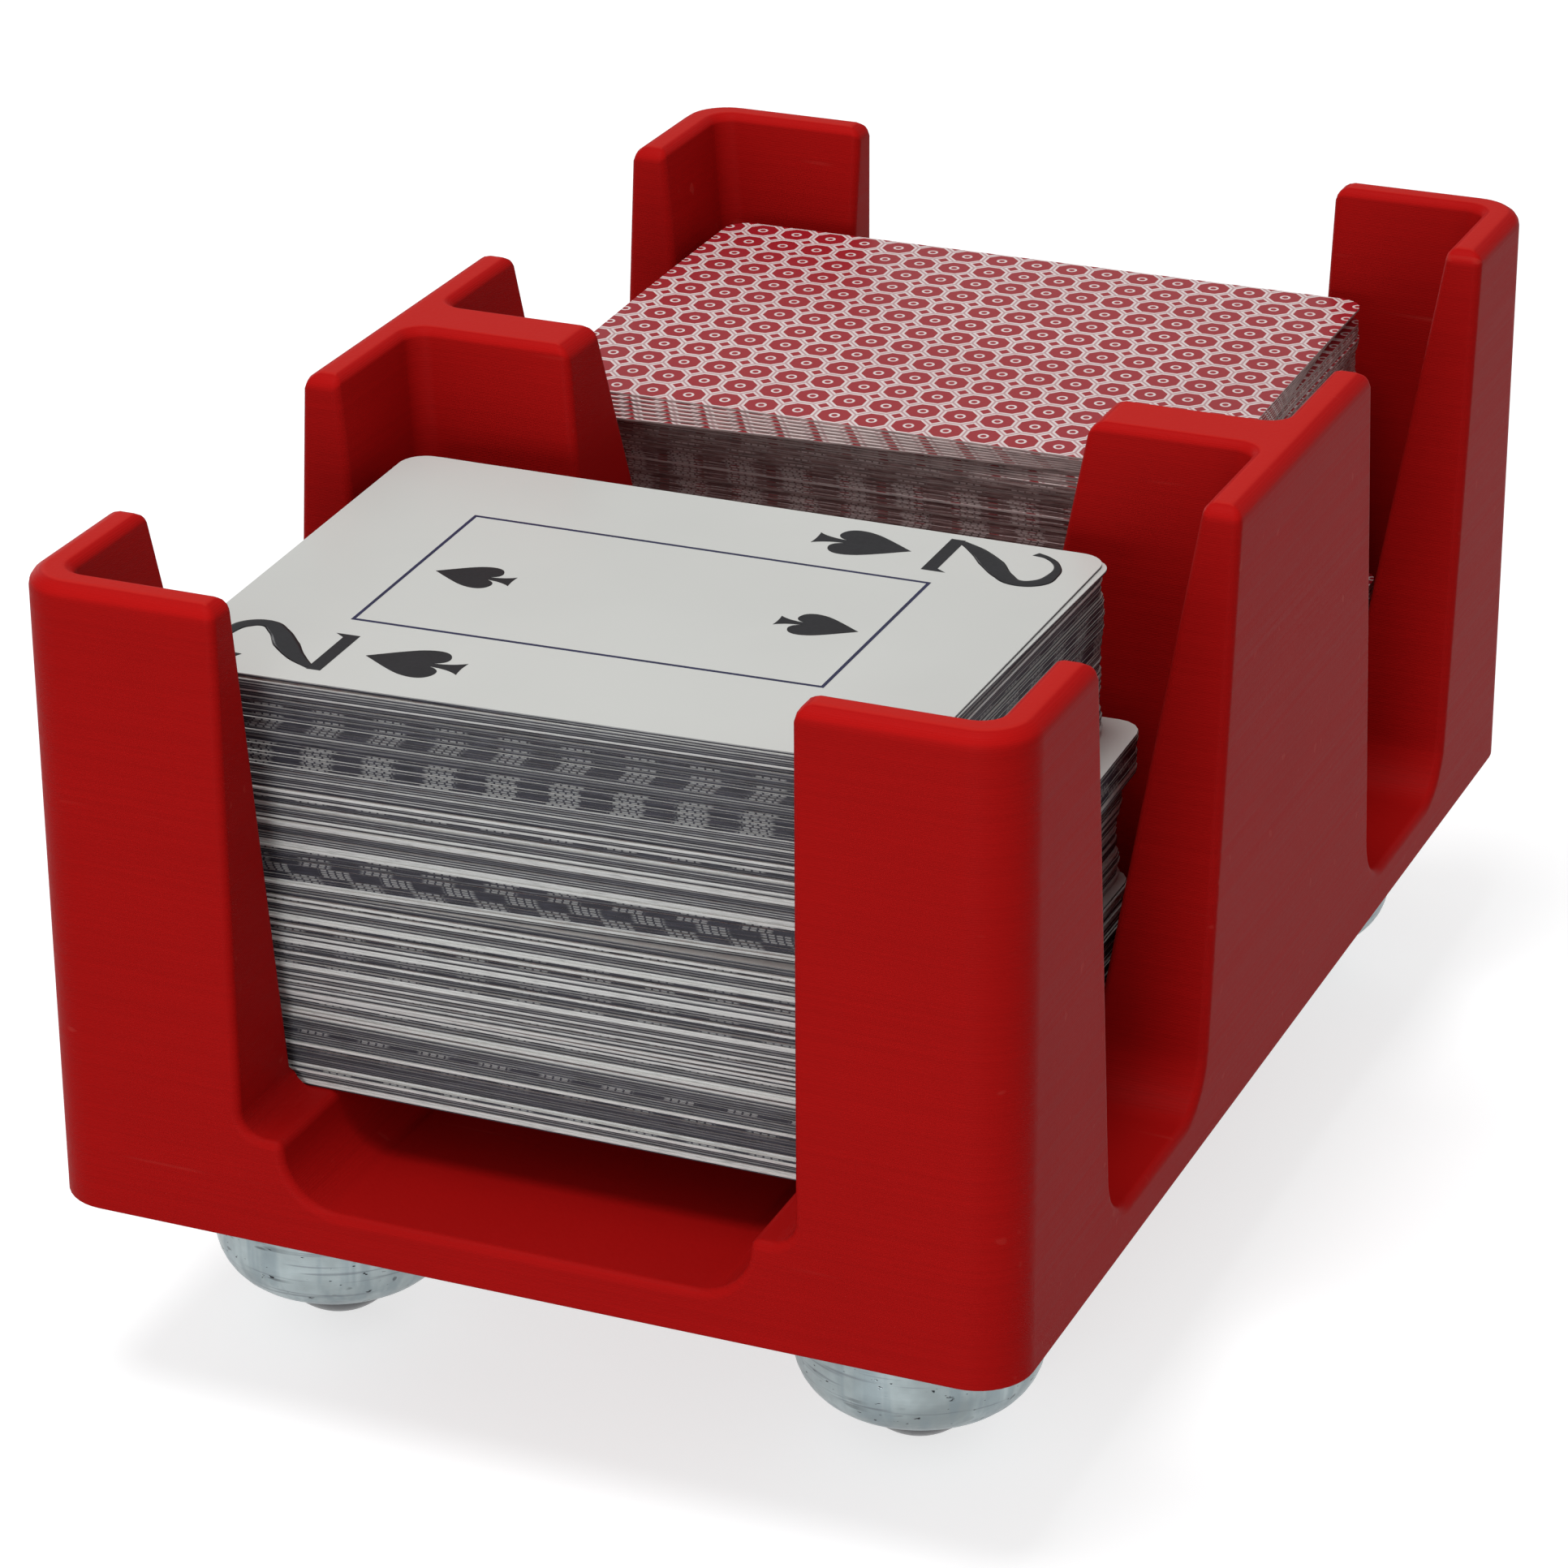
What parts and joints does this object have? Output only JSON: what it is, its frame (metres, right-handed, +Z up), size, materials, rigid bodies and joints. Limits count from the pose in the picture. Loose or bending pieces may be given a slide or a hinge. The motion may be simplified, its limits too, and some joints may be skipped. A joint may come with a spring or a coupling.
{
  "type": "playing card tray",
  "caption": "Open two-well tray for a discard pile and a draw pile of playing cards, with finger gaps and rolling ball feet.",
  "frame": {"origin": "centre of the tray's footprint, on the table that the ball feet stand on", "axes": "+Z up, +Y along the tray from the discard well to the draw well, +X across"},
  "size_m": [0.1172, 0.1868, 0.1002],
  "materials": {
    "red_print": "printed in layers, satin",
    "zinc": "zinc-plated, pitted",
    "hard_steel": "hardened, ground",
    "ball_steel": "polished",
    "nylon": "plain",
    "card_edges": "stacked edges with dark print lines",
    "card_face": "coated, satin",
    "card_back": "coated, satin"
  },
  "bodies": {
    "tray": {"tray_body": "red_print", "foot_screws": "zinc", "flange_front_left": "zinc", "housing_front_left": "zinc", "race_front_left": "hard_steel", "bearing_balls_front_left": "ball_steel", "retainer_ring_front_left": "nylon", "flange_front_right": "zinc", "housing_front_right": "zinc", "race_front_right": "hard_steel", "bearing_balls_front_right": "ball_steel", "retainer_ring_front_right": "nylon", "flange_back_left": "zinc", "housing_back_left": "zinc", "race_back_left": "hard_steel", "bearing_balls_back_left": "ball_steel", "retainer_ring_back_left": "nylon", "flange_back_right": "zinc", "housing_back_right": "zinc", "race_back_right": "hard_steel", "bearing_balls_back_right": "ball_steel", "retainer_ring_back_right": "nylon"},
    "front_left_ball": {"ball_front_left": "ball_steel"},
    "front_right_ball": {"ball_front_right": "ball_steel"},
    "back_left_ball": {"ball_back_left": "ball_steel"},
    "back_right_ball": {"ball_back_right": "ball_steel"},
    "discard_pile": {"discard_bottom_packet": "card_edges", "discard_lower_packet": "card_edges", "discard_skewed_packet": "card_edges", "discard_upper_packet": "card_edges", "discard_second_card": "card_face"},
    "discard_card": {"discard_top_card": "card_face"},
    "draw_pile": {"draw_bottom_packet": "card_edges", "draw_middle_packet": "card_edges", "draw_upper_packet": "card_edges", "draw_fanned_cards": "card_back"},
    "draw_card": {"draw_top_card": "card_back"}
  },
  "joints": [
    {"name": "front_left_ball_roll", "type": "hinge", "parent": "tray", "child": "front_left_ball", "pos_m": [-0.0368, -0.065, 0.00794], "axis": [1, 0, 0], "continuous": true},
    {"name": "front_right_ball_roll", "type": "hinge", "parent": "tray", "child": "front_right_ball", "pos_m": [0.0368, -0.065, 0.00794], "axis": [0, 1, 0], "continuous": true},
    {"name": "back_left_ball_roll", "type": "hinge", "parent": "tray", "child": "back_left_ball", "pos_m": [-0.0368, 0.065, 0.00794], "axis": [0, 1, 0], "continuous": true},
    {"name": "back_right_ball_roll", "type": "hinge", "parent": "tray", "child": "back_right_ball", "pos_m": [0.0368, 0.065, 0.00794], "axis": [1, 0, 0], "continuous": true},
    {"name": "discard_pile_lift", "type": "slide", "parent": "tray", "child": "discard_pile", "axis": [0, 0, 1], "range_m": [0, 0.08]},
    {"name": "discard_card_lift", "type": "slide", "parent": "discard_pile", "child": "discard_card", "axis": [0, 0, 1], "range_m": [0, 0.05]},
    {"name": "draw_pile_lift", "type": "slide", "parent": "tray", "child": "draw_pile", "axis": [0, 0, 1], "range_m": [0, 0.08]},
    {"name": "draw_card_lift", "type": "slide", "parent": "draw_pile", "child": "draw_card", "axis": [0, 0, 1], "range_m": [0, 0.05]}
  ]
}
